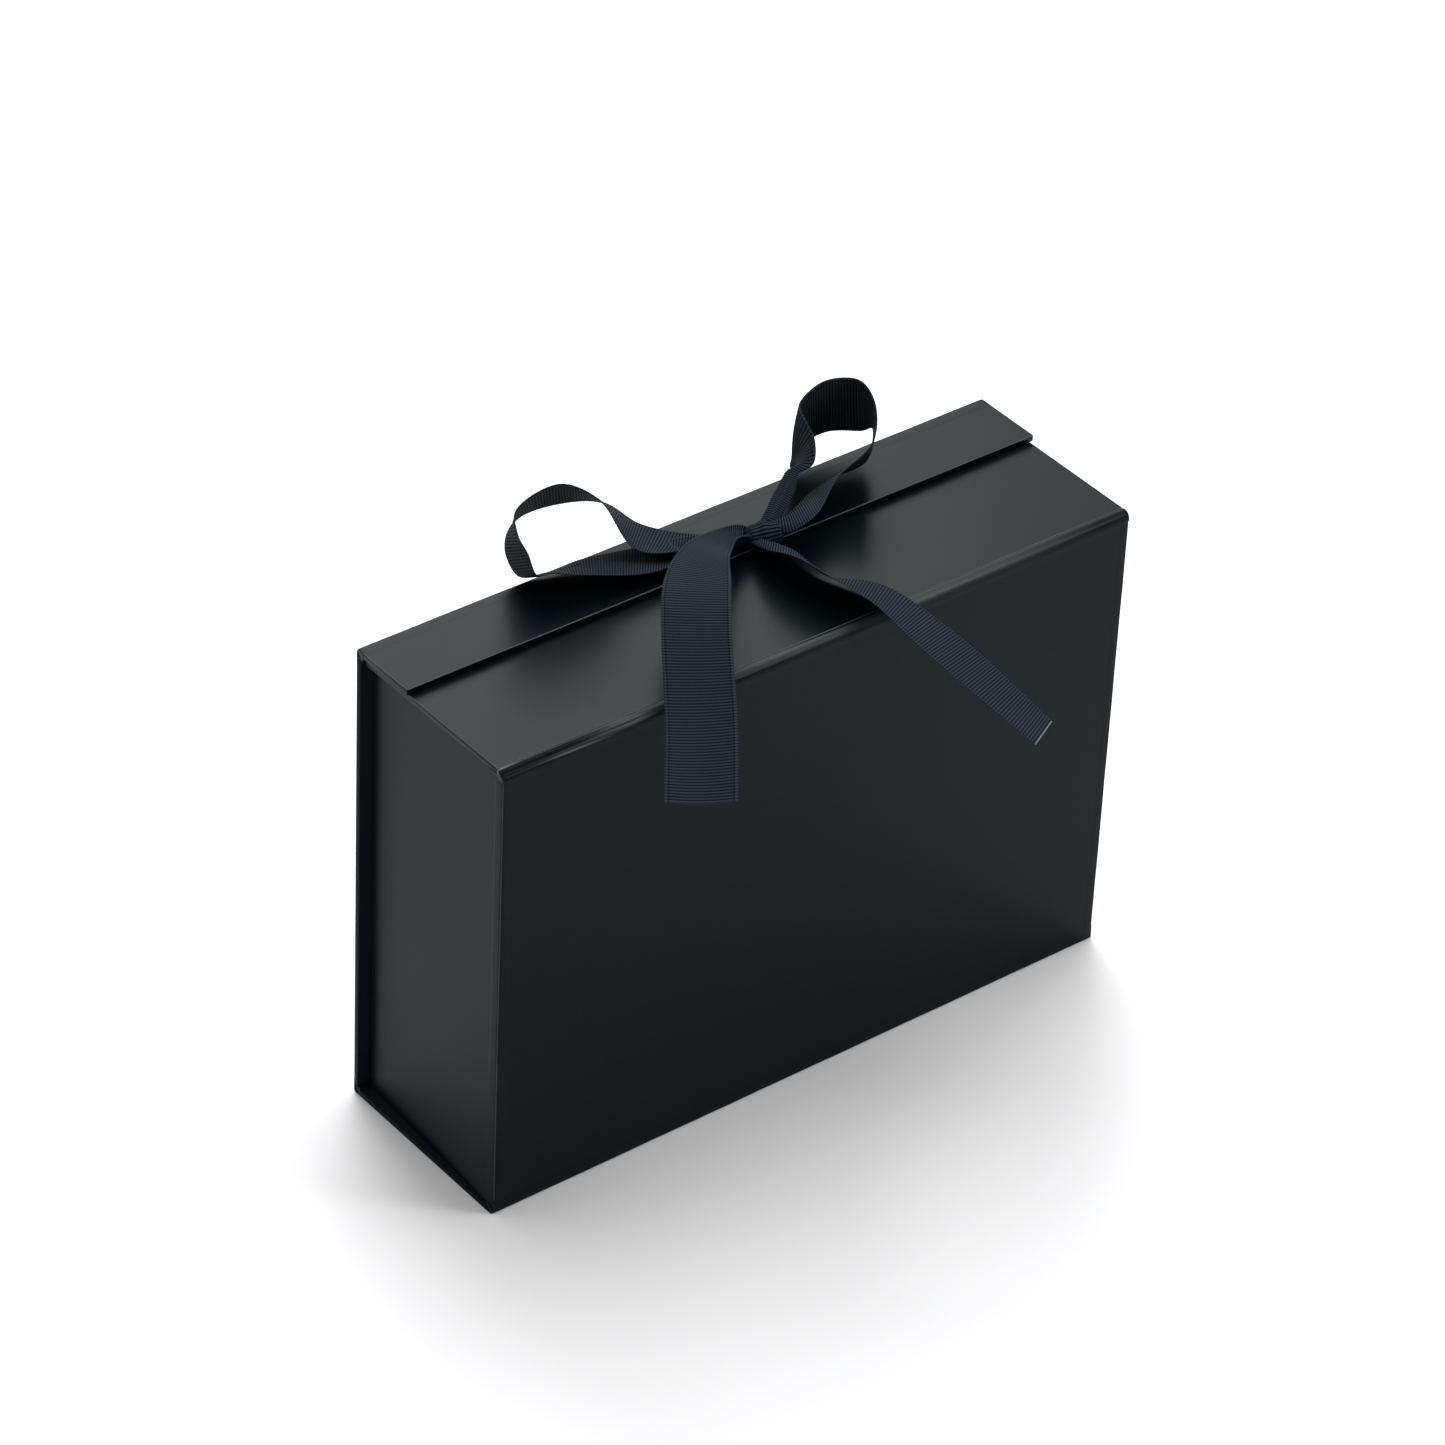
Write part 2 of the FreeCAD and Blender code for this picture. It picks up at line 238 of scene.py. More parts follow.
class GiftBoxRibbon(bpy.types.PropertyGroup):
    colour: bpy.props.FloatVectorProperty(
        name="Ribbon colour", description="Base colour of the woven ribbon", subtype="COLOR",
        default=(0.0143, 0.018, 0.022), min=0, max=1,
    )
    width: bpy.props.FloatProperty(
        name="Width", description="Width of the flat ribbon", unit="LENGTH", default=20 * MM,
        min=5 * MM, max=50 * MM, precision=4,
    )
    rib_pitch: bpy.props.FloatProperty(
        name="Rib pitch", description="Distance between two cross ribs", unit="LENGTH", default=0.9 * MM,
        min=0.4 * MM, max=3 * MM, precision=5,
    )
    rib_height: bpy.props.FloatProperty(
        name="Rib height", description="How far a rib stands above the groove beside it", unit="LENGTH",
        default=0.26 * MM, min=0, max=0.5 * MM, precision=5,
    )
    thickness: bpy.props.FloatProperty(
        name="Thickness", description="Thickness of the ribbon at a groove", unit="LENGTH",
        default=0.26 * MM, min=0.1 * MM, max=1 * MM, precision=5,
    )


class GiftBoxStage(bpy.types.PropertyGroup):
    camera_place: bpy.props.FloatVectorProperty(
        name="Camera place", description="Where the camera stands", subtype="TRANSLATION",
        default=(-0.93141, -1.12426, 1.16233),
    )
    camera_azimuth: bpy.props.FloatProperty(
        name="Azimuth", description="Bearing of the camera round the box", subtype="ANGLE",
        default=math.radians(-39.39),
    )
    camera_elevation: bpy.props.FloatProperty(
        name="Elevation", description="Height of the camera's line of sight", subtype="ANGLE",
        default=math.radians(35.892),
    )
    camera_roll: bpy.props.FloatProperty(
        name="Roll", description="Turn of the camera about its line of sight", subtype="ANGLE",
        default=math.radians(2.7655),
    )
    focal_length: bpy.props.FloatProperty(
        name="Focal length", description="Focal length of the lens", unit="CAMERA", default=156.85, min=10,
        max=500,
    )
    sensor_width: bpy.props.FloatProperty(
        name="Sensor width", description="Width of the camera's sensor", unit="CAMERA", default=36, min=1,
        max=100,
    )
    overhead_power: bpy.props.FloatProperty(
        name="Overhead light", description="Power of the soft light above the box", unit="POWER", default=21,
        min=0,
    )
    back_power: bpy.props.FloatProperty(
        name="Back light", description="Power of the soft light behind the box", unit="POWER", default=26,
        min=0,
    )
    front_power: bpy.props.FloatProperty(
        name="Front light", description="Power of the soft light at the front right", unit="POWER",
        default=6, min=0,
    )
    surround: bpy.props.FloatProperty(
        name="Surround", description="Brightness of the white surround", default=0.45, min=0, max=5,
    )
    floor_colour: bpy.props.FloatVectorProperty(
        name="Floor colour", description="Colour of the floor", subtype="COLOR", default=(0.86, 0.86, 0.87),
        min=0, max=1,
    )


class Shade:
    """One output socket of a material. Sums, products and tests of shades and numbers add Math nodes."""

    def __init__(self, tree, socket):
        self.tree = tree
        self.socket = socket

    @classmethod
    def node(cls, tree, kind, settings, sockets, output=0):
        """A new node: its settings are set first, then each socket gets a value or a link."""
        made = tree.nodes.new(kind)
        for name, value in settings.items():
            setattr(made, name, value)
        for name, value in sockets.items():
            if isinstance(value, Shade):
                tree.links.new(value.socket, made.inputs[name])
            else:
                made.inputs[name].default_value = value
        return cls(tree, made.outputs[output])

    def maths(self, operation, *values):
        settings = {"operation": operation}
        return Shade.node(self.tree, "ShaderNodeMath", settings, dict(enumerate(values)))

    def __add__(self, other):
        return self.maths("ADD", self, other)

    def __radd__(self, other):
        return self.maths("ADD", other, self)

    def __sub__(self, other):
        return self.maths("SUBTRACT", self, other)

    def __rsub__(self, other):
        return self.maths("SUBTRACT", other, self)

    def __mul__(self, other):
        return self.maths("MULTIPLY", self, other)

    def __rmul__(self, other):
        return self.maths("MULTIPLY", other, self)

    def __gt__(self, other):
        return self.maths("GREATER_THAN", self, other)

    def __abs__(self):
        return self.maths("ABSOLUTE", self)

    def sine(self):
        return self.maths("SINE", self)


def new_material(name):
    """An empty node material, its tree and its shader."""
    material = bpy.data.materials.new(name)
    material.use_nodes = True
    tree = material.node_tree
    return material, tree, tree.nodes["Principled BSDF"]


def link(tree, shade, shader, name):
    tree.links.new(shade.socket, shader.inputs[name])


def object_place(tree):
    """The surface's own coordinates in metres."""
    return Shade.node(tree, "ShaderNodeTexCoord", {}, {}, output="Object")


def attribute(tree, name):
    """A value that the piece's own points hold."""
    return Shade.node(tree, "ShaderNodeAttribute", {"attribute_name": name}, {}, output="Fac")


def grain(tree, scale, detail=2, roughness=0.5):
    """Fractal noise from 0 to 1 with so many cells per metre."""
    sockets = {"Vector": object_place(tree), "Scale": scale, "Detail": detail, "Roughness": roughness}
    return Shade.node(tree, "ShaderNodeTexNoise", {}, sockets)


def tint(tree, factor, first, second):
    """A colour between two others, each a plain colour or a shade."""
    # The Mix node's own numbers for its colour sockets.
    first_input, second_input, colour_output = 6, 7, 2
    sockets = {"Factor": factor}
    for socket, colour in ((first_input, first), (second_input, second)):
        sockets[socket] = colour if isinstance(colour, Shade) else (*colour, 1)
    return Shade.node(tree, "ShaderNodeMix", {"data_type": "RGBA"}, sockets, colour_output)


def scaled(colour, share):
    """A colour made lighter or darker."""
    return tuple(share * channel for channel in colour)


def bump(tree, height, distance, strength):
    """A normal from a height between 0 and about 1, which stands for a real distance."""
    sockets = {"Height": height, "Distance": distance, "Strength": strength}
    return Shade.node(tree, "ShaderNodeBump", {}, sockets)


def paper_material(name, colour, rub_and_highlight_colour, roughness, gloss):
    """Matte laminated paper: cloudy colour and gloss, a fine grain, and pale rims that are painted
    highlights, partly rub wear.
    """
    cloud_dark, cloud_light = 0.86, 1.14
    rub_and_highlight_least, rub_and_highlight_cloud = 0.35, 0.9
    smoother, cloud_dull, fibre_dull = 0.05, 0.06, 0.04
    fibre_height, grain_depth, grain_strength = 0.25, 0.06 * MM, 0.35
    film_tint = (0.93, 1, 1, 1)
    material, tree, shader = new_material(name)
    cloud = grain(tree, scale=28, detail=3)
    fibre = grain(tree, scale=2600)
    swell = grain(tree, scale=55, detail=1)
    cloudy = tint(tree, cloud, scaled(colour, cloud_dark), scaled(colour, cloud_light))
    # Painted highlight on the rounded edges and folds, partly rub wear, mottled by the cloud.
    rubbed_and_highlit = attribute(tree, "rub_and_highlight") * (rub_and_highlight_least + cloud * rub_and_highlight_cloud)
    link(tree, tint(tree, rubbed_and_highlit, cloudy, rub_and_highlight_colour), shader, "Base Color")
    dull = roughness - smoother + cloud * cloud_dull + fibre * fibre_dull
    link(tree, dull, shader, "Roughness")
    link(tree, bump(tree, fibre * fibre_height + swell, grain_depth, grain_strength), shader, "Normal")
    shader.inputs["Specular IOR Level"].default_value = gloss
    shader.inputs["Specular Tint"].default_value = film_tint
    return material


def board_material(name):
    """Grey pulp board with flecks."""
    dark, light = (0.22, 0.21, 0.19), (0.42, 0.4, 0.37)
    dullness, fleck_dull = 0.86, 0.1
    fleck_depth, fleck_strength = 0.1 * MM, 0.5
    material, tree, shader = new_material(name)
    fleck = grain(tree, scale=900, detail=4, roughness=0.7)
    link(tree, tint(tree, fleck, dark, light), shader, "Base Color")
    link(tree, dullness + fleck * fleck_dull, shader, "Roughness")
    link(tree, bump(tree, fleck, fleck_depth, fleck_strength), shader, "Normal")
    return material


def tape_material(name):
    """Double-sided tape with a crinkled, slightly shiny film."""
    dark, light = (0.5, 0.47, 0.38), (0.66, 0.63, 0.55)
    shine, crinkle_dull = 0.35, 0.2
    material, tree, shader = new_material(name)
    crinkle = grain(tree, scale=400)
    link(tree, tint(tree, crinkle, dark, light), shader, "Base Color")
    link(tree, shine + crinkle * crinkle_dull, shader, "Roughness")
    return material


def metal_material(name, colour, roughness):
    """Bare metal with fine rolling marks."""
    mark_dark, mark_dull = 0.8, 0.15
    material, tree, shader = new_material(name)
    mark = grain(tree, scale=1500, detail=3)
    link(tree, tint(tree, mark, scaled(colour, mark_dark), colour), shader, "Base Color")
    link(tree, roughness + mark * mark_dull, shader, "Roughness")
    shader.inputs["Metallic"].default_value = 1
    return material


def ribbon_material(name, ribbon):
    """Woven ribbon: each cross rib has a painted highlight along its crest and painted shade in its groove,
    fine warp threads cross it, a sewn line runs inside each selvedge, whose beads get a painted highlight,
    and the fused cut ends are pale."""
    groove_shade, crest_highlight = 0.05, 2
    fused = (0.3, 0.31, 0.32)
    threads = 46
    line_from, selvedge_from = 0.88, 0.92
    crest_highlight_share, fuzz_share = 0.85, 0.15
    selvedge_highlight, line_dark = 0.6, 0.25
    dullness, crest_shine, fuzz_dull = 0.62, 0.14, 0.12
    warp_height, weave_depth, weave_strength = 0.5, 0.04 * MM, 0.5
    cloth_gloss = 0.005
    material, tree, shader = new_material(name)
    lit_crest = attribute(tree, "rib_crest_highlight")
    across = attribute(tree, "across")
    warp = (across * (threads * 2 * math.pi)).sine()
    fuzz = grain(tree, scale=2200)
    side = abs(across * 2 - 1)
    selvedge = side > selvedge_from
    # The selvedge beads get a painted highlight at each crest; the sewn line inside them is darker.
    sewn_line_and_selvedge_highlight = selvedge * (lit_crest * selvedge_highlight) + (selvedge - (side > line_from)) * line_dark
    highlight_share = lit_crest * crest_highlight_share + fuzz * fuzz_share + sewn_line_and_selvedge_highlight
    # Painted shade in the grooves and a painted highlight on the crests.
    dark, light = scaled(ribbon.colour, groove_shade), scaled(ribbon.colour, crest_highlight)
    weave_light_and_shade = tint(tree, highlight_share, dark, light)
    link(tree, tint(tree, attribute(tree, "cut_end"), weave_light_and_shade, fused), shader, "Base Color")
    link(tree, dullness - lit_crest * crest_shine + fuzz * fuzz_dull, shader, "Roughness")
    link(tree, bump(tree, warp * warp_height + fuzz, weave_depth, weave_strength), shader, "Normal")
    shader.inputs["Specular IOR Level"].default_value = cloth_gloss
    return material


def material_named(name, make, *values):
    """The material of that name, made on its first use."""
    found = bpy.data.materials.get(name)
    if found is None:
        found = make(name, *values)
    return found


def wrap_paper(paper):
    return material_named(
        "wrap_paper", paper_material, paper.colour, paper.rub_and_highlight_colour, paper.roughness, paper.gloss
    )


def lining_paper(paper):
    return material_named(
        "matte_lining", paper_material, paper.lining_colour, paper.lining_colour, paper.lining_roughness,
        paper.lining_gloss,
    )


def unit(vectors):
    """The same directions with a length of 1."""
    return vectors / np.linalg.norm(vectors, axis=-1, keepdims=True)


def bell(offset):
    """A bell curve: 1 in the middle, and nearly 0 from an offset of 2."""
    return np.exp(-offset ** 2)


def put_mesh(name, points, faces):
    """A smooth mesh object from an array of points and lists of faces, left at the origin."""
    mesh = bpy.data.meshes.new(name)
    mesh.from_pydata(points.reshape(-1, 3).tolist(), [], faces)
    mesh.validate()
    mesh.polygons.foreach_set("use_smooth", np.ones(len(mesh.polygons), bool))
    mesh.update()
    piece = bpy.data.objects.new(name, mesh)
    bpy.context.scene.collection.objects.link(piece)
    return piece


def write_values(piece, name, values):
    """Stores one value at each point of a piece, for its material."""
    held = piece.data.attributes.new(name, "FLOAT", "POINT")
    held.data.foreach_set("value", values.astype(np.float32))


def band_faces(rows, columns):
    """Quads between neighbouring rows of a grid whose columns close into a ring."""
    row, column = np.meshgrid(np.arange(rows - 1), np.arange(columns), indexing="ij")
    following = (column + 1) % columns
    start, end = row * columns, (row + 1) * columns
    quads = np.stack([start + column, start + following, end + following, end + column], axis=-1)
    return quads.reshape(-1, 4).tolist()


def slit_faces(first, columns, flip):
    """Quads that close the end of a flattened tube: each column of its upper half joins its mirror below."""
    upper = first + np.arange(columns // 2 - 1)
    lower = 2 * first + columns - 1 - upper
    quads = np.stack([upper, upper + 1, lower - 1, lower], axis=-1)
    if flip:
        quads = quads[:, ::-1]
    return quads.tolist()


def tube_mesh(name, points):
    """A closed strip from rows of points, where each row runs out along one face of the strip and back along
    the other."""
    rows, columns = points.shape[:2]
    faces = band_faces(rows, columns)
    faces += slit_faces(0, columns, False)
    faces += slit_faces((rows - 1) * columns, columns, True)
    return put_mesh(name, points, faces)


def outline_ring(half_long, half_wide, corner, steps):
    """A rectangle with round corners: each corner is a quarter circle of so many steps."""
    turn = np.linspace(0, math.pi / 2, steps)
    angles = np.concatenate([turn + quarter * math.pi / 2 for quarter in range(4)])
    signs = np.repeat(np.array([(1, 1), (-1, 1), (-1, -1), (1, -1)], float), steps, axis=0)
    middle = signs * (half_long - corner, half_wide - corner)
    return middle + corner * np.stack([np.cos(angles), np.sin(angles)], axis=-1)


def paper_cover(name, low, high, axis, outward, paper):
    """Paper wrapped over one face and four edges of a board. A rectangle with round corners is carried along
    the paper's section: from the flat of the outer face, over the round edge, down the side, under the lip
    and back up inside. The round edge carries a painted highlight, partly rub wear, strongest halfway round
    its turn."""
    skin = 0.2 * MM
    lip = 0.08 * MM
    corner, sharpest_corner = 0.35 * MM, 0.05 * MM
    edge_steps, corner_steps = 7, 5
    radius = paper.edge_radius
    across = [side for side in range(3) if side != axis]
    size = np.array(high - low)
    depth = size[axis]
    turn = np.radians(np.linspace(90, 0, edge_steps))
    section = [(2 * radius, depth)]
    section += [(radius * (1 - math.cos(a)), depth - radius * (1 - math.sin(a))) for a in turn]
    section += [(0, lip), (lip, 0), (skin, 0), (skin, depth - skin)]
    # Painted highlight along the round edge, partly rub wear, strongest halfway round its turn.
    rub_and_highlight = np.zeros(len(section))
    rub_and_highlight[1:1 + edge_steps] = np.sin(2 * turn)
    half_long, half_wide = size[across] / 2
    rings = []
    for inset, height in section:
        ring_corner = max(corner - inset, sharpest_corner)
        ring = outline_ring(half_long - inset, half_wide - inset, ring_corner, corner_steps)
        rings.append(np.column_stack([ring, np.full(len(ring), height)]))
    rings = np.array(rings)
    centre = np.array(low + high) / 2
    start = low[axis] if outward > 0 else high[axis]
    points = np.empty_like(rings)
    points[..., across] = centre[across] + rings[..., :2]
    points[..., axis] = start + outward * rings[..., 2]
    rows, columns = points.shape[:2]
    last = (rows - 1) * columns
    faces = band_faces(rows, columns)
    faces.append(list(range(columns))[::-1])
    faces.append(list(range(last, last + columns)))
    inside_out = (axis != 1) == (outward > 0)
    if inside_out:
        faces = [face[::-1] for face in faces]
    piece = put_mesh(name, points, faces)
    for flat_face in piece.data.polygons[-2:]:
        flat_face.use_smooth = False
    write_values(piece, "rub_and_highlight", np.repeat(rub_and_highlight, columns))
    return piece


def wall_box(panel):
    """A side wall's box before it leans in, and the turn that leans it about its upright fold."""
    outward = PANELS[panel][1]
    low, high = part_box(panel + "_wrap")
    spine_low, spine_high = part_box("spine_wrap")
    thickness = (spine_high - spine_low).z
    lean = math.radians(WALL_LEAN) * outward
    outer = high.x if outward > 0 else low.x
    inner = outer - outward * thickness
    back = low.y + thickness * abs(math.sin(lean))
    depth = (high.y - back) / math.cos(lean)
    near = Vector((min(outer, inner), back, low.z))
    far = Vector((max(outer, inner), back + depth, high.z))
    pivot = Matrix.Translation((outer, back, 0))
    return near, far, pivot @ Matrix.Rotation(lean, 4, "Z") @ pivot.inverted()


def fold_section(radius, flanges, squareness):
    """A fold's section: a superellipse quarter, with a flange that lifts slightly off each covered board.
    Gives each point on the section's two axes, and how far round the turn it is, from 0 to 1."""
    turn_steps, flange_steps = 33, 4
    lift = 0.03 * MM
    angle = np.linspace(0, math.pi / 2, turn_steps)
    first = radius * np.cos(angle) ** (2 / squareness)
    second = radius * np.sin(angle) ** (2 / squareness)
    turn = angle / (math.pi / 2)
    out = np.linspace(1, 0, flange_steps, endpoint=False)
    raised = lift * (1 - 2 * out ** 2)
    if flanges[0]:
        first = np.concatenate([radius + raised, first + raised[-1]])
        second = np.concatenate([-flanges[0] * out, second])
        turn = np.concatenate([np.zeros(flange_steps), turn])
    if flanges[1]:
        first = np.concatenate([first, -flanges[1] * out[::-1]])
        second = np.concatenate([second + raised[-1], radius + raised[::-1]])
        turn = np.concatenate([turn, np.ones(flange_steps)])
    return np.stack([first, second], axis=-1), turn


def fold_wear(place, turn, dents):
    """How far a fold's paper stands in from its round, in millimetres: pressed flat to a chamfer, and dented
    along its middle, over each worn stretch."""
    dent_breadth = 0.16
    middle = bell((turn - 0.5) / dent_breadth)
    chamfer = np.sin(math.pi * turn) ** 2
    wear = np.zeros(np.broadcast(place, turn).shape)
    for at, spread, pressed, dented in dents:
        wear = wear + bell((place - at) / spread) * (pressed * chamfer + dented * middle)
    return wear


def fold_ripple(place, turn):
    """How far a fold's paper wavers along its length: two sine waves, strongest halfway round the turn."""
    depth = 0.02 * MM
    long_wave, short_wave = 7.3 * MM, 3.1 * MM
    short_share, short_lag = 0.6, 1.7
    waver = np.sin(place / long_wave) + short_share * np.sin(place / short_wave + short_lag)
    return depth * waver * np.sin(math.pi * turn)


def fold_highlights_and_rubs(place, turn, highlights_and_rubs):
    """How pale a fold's paper is painted, from 0 to 1: each streak is a painted highlight, partly rub wear,
    that fades out along the fold and across it, and one of negative strength darkens the others."""
    pale = np.zeros(np.broadcast(place, turn).shape)
    for at, spread, level, climb, breadth, strength in highlights_and_rubs:
        across = (turn - level - climb * (place - at)) / breadth
        pale = pale + strength * bell((place - at) / spread) * bell(across)
    return pale.clip(0, 1)


def paper_fold(name, node, paper, shape, dents, highlights_and_rubs):
    """A paper strip round a quarter turn between two boards. Its section has a flange along each board that
    is covered, or dips to a crease where it isn't. The paper is dented and ripples along its length. Both
    ends are drawn in, filled to the fold's centre, and slanted in towards the first board."""
    skin = 0.35 * MM
    tip = 0.15 * MM
    row_spacing = 0.7 * MM
    crease_breadth = 0.09
    least_lap = 0.1
    core_share = 0.02
    laps, squareness, slant, taper = shape
    flanges = [lap * MM for lap in laps]
    run, ways = FOLDS[node][:2]
    low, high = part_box(node)
    across = [side for side in range(3) if side != run]
    centre = np.array([low[side] if way > 0 else high[side] for side, way in zip(across, ways)])
    section, turn = fold_section(high[across[0]] - low[across[0]], flanges, squareness)
    along = np.gradient(section, axis=0)
    normal = unit(np.stack([along[:, 1], -along[:, 0]], axis=-1))
    length = high[run] - low[run]
    rows = max(int(length / row_spacing), 2)
    place = np.linspace(0, length, rows)[:, None]
    from_end = np.minimum(place, length - place)
    at_end = from_end < tip
    dip = np.zeros(len(turn))
    if not flanges[0]:
        dip = dip + bell(turn / crease_breadth)
    if not flanges[1]:
        dip = dip + bell((1 - turn) / crease_breadth)
    sink = paper.crease_depth * dip + fold_wear(place, turn, dents) * MM
    sink = sink + fold_ripple(place, turn) + tip * at_end
    lap_share = np.clip((from_end + tip) / (taper * MM), least_lap, 1)
    section = np.where(section < 0, section * lap_share[..., None], section)
    outer = section - sink[..., None] * normal
    inner = outer - skin * normal
    filled = at_end & (turn > 0) & (turn < 1)
    inner = np.where(filled[..., None], core_share * outer, inner)
    ring = np.concatenate([outer, inner[:, ::-1]], axis=1)
    ring_turn = np.concatenate([turn, turn[::-1]])
    points = np.empty((rows, ring.shape[1], 3))
    points[..., run] = low[run] + place + slant * MM * (1 - ring_turn) * (1 - 2 * place / length)
    points[..., across] = centre + np.array(ways) * ring
    # Painted highlights along the fold, partly rub wear.
    rub_and_highlight = fold_highlights_and_rubs(place, ring_turn, highlights_and_rubs)
    inside_out = ways[0] * ways[1] > 0
    if inside_out:
        points = points[:, ::-1]
        rub_and_highlight = rub_and_highlight[:, ::-1]
    piece = tube_mesh(name, points)
    write_values(piece, "rub_and_highlight", rub_and_highlight.reshape(-1))
    return piece


def lining_strip(name, fold, upright, level):
    """A strip of lining that runs on over the inside of a fold along X: a quarter circle that is tangent to
    the linings of the two panels, carried along the fold."""
    radius = 1.8 * MM
    skin = 0.1 * MM
    inset = 0.5 * MM
    arc_steps = 13
    ways = FOLDS[fold][1]
    boxes = [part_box(panel + "_lining") for panel in (upright, level)]
    faces = [box[0][side] if way > 0 else box[1][side] for box, side, way in zip(boxes, (1, 2), ways)]
    centre = np.array(faces) - radius * np.array(ways)
    angle = np.linspace(0, math.pi / 2, arc_steps)
    arc = np.stack([np.cos(angle), np.sin(angle)], axis=-1) * ways
    ring = np.concatenate([centre + (radius + skin) * arc, centre + (radius * arc)[::-1]])
    low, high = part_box(fold)
    points = np.empty((2, len(ring), 3))
    points[..., 0] = np.array([[low.x + inset], [high.x - inset]])
    points[..., 1:] = ring
    inside_out = ways[0] * ways[1] > 0
    if inside_out:
        points = points[:, ::-1]
    return tube_mesh(name, points)


def hermite(knots, values, at):
    """A curve through the values at the knots, whose slope at each knot is the average of the slopes beside
    it, weighted to the nearer one."""
    gap = np.diff(knots)[:, None]
    slope = np.diff(values, axis=0) / gap
    inside = (slope[:-1] * gap[1:] + slope[1:] * gap[:-1]) / (gap[1:] + gap[:-1])
    slopes = np.concatenate([slope[:1], inside, slope[-1:]])
    cell = np.clip(np.searchsorted(knots, at) - 1, 0, len(knots) - 2)
    width = gap[cell]
    t = (at - knots[cell])[:, None] / width
    start = values[cell] * (1 + 2 * t) + slopes[cell] * width * t
    end = values[cell + 1] * (3 - 2 * t) - slopes[cell + 1] * width * (1 - t)
    return start * (1 - t) ** 2 + end * t ** 2


def knot_centre():
    """The middle of the knot: its box is as deep as the knot is round, and cut flat only underneath."""
    low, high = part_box("bow_knot")
    middle = (low + high) / 2
    return np.array((middle.x, middle.y, high.z - (high.y - low.y) / 2))


def even_path(stations, spacing):
    """A smooth curve through the stations, spaced by the square root of the way that a ribbon's edges go
    from one to the next, and then divided evenly. Gives arrays: the way travelled, the middles, the
    directions across, the width shares and the curls."""
    edge_reach = 10 * MM
    fine_steps = 4000
    narrowest = 0.15
    x, y, z, bearing, tilt, share, curl = np.array(stations, float).T
    bearing, tilt, curl = np.radians((bearing, tilt, curl))
    middle = np.stack([x, y, z], axis=-1) * MM
    level = np.cos(tilt)
    across = np.stack([level * np.cos(bearing), level * np.sin(bearing), np.sin(tilt)], axis=-1)
    values = np.column_stack([middle, across, share, curl])
    edges = [middle + side * edge_reach * across for side in (1, -1)]
    steps = [np.linalg.norm(np.diff(edge, axis=0), axis=1) for edge in edges]
    knots = np.concatenate([[0], np.cumsum(np.sqrt(sum(steps) / 2))])
    fine = np.linspace(0, knots[-1], fine_steps)
    walked = np.linalg.norm(np.diff(hermite(knots, values, fine)[:, :3], axis=0), axis=1)
    travel = np.concatenate([[0], np.cumsum(walked)])
    along = np.linspace(0, travel[-1], int(travel[-1] / spacing) + 1)
    path = hermite(knots, values, np.interp(along, travel, fine))
    shown = np.clip(path[:, 6], narrowest, 1)
    return along, path[:, :3] + knot_centre(), unit(path[:, 3:6]), shown, path[:, 7]


def knot_path(spacing):
    """Once and a bit round the bundle: a circle whose radius grows a little, with the ribbon's width along
    its axis. Gives the same arrays as the other paths."""
    bearing, rise = math.radians(-22), 0.1
    start, end = math.radians(-150), math.radians(290)
    radius, growth = 3 * MM, 0.35 * MM
    curl = math.radians(70)
    shift = np.array((-1, -0.5, -0.3)) * MM
    axis = unit(np.array((math.cos(bearing), math.sin(bearing), rise)))
    level = unit(np.cross((0, 0, 1), axis))
    up = np.cross(axis, level)
    length = (end - start) * radius
    count = int(length / spacing) + 1
    angle = np.linspace(start, end, count)
    reach = radius + growth * (angle - start) / (end - start)
    spoke = np.cos(angle)[:, None] * level + np.sin(angle)[:, None] * up
    middle = knot_centre() + shift + reach[:, None] * spoke
    across = np.repeat(axis[None], count, axis=0)
    along = np.linspace(0, length, count)
    return along, middle, across, np.full(count, KNOT_SHARE), np.full(count, curl)


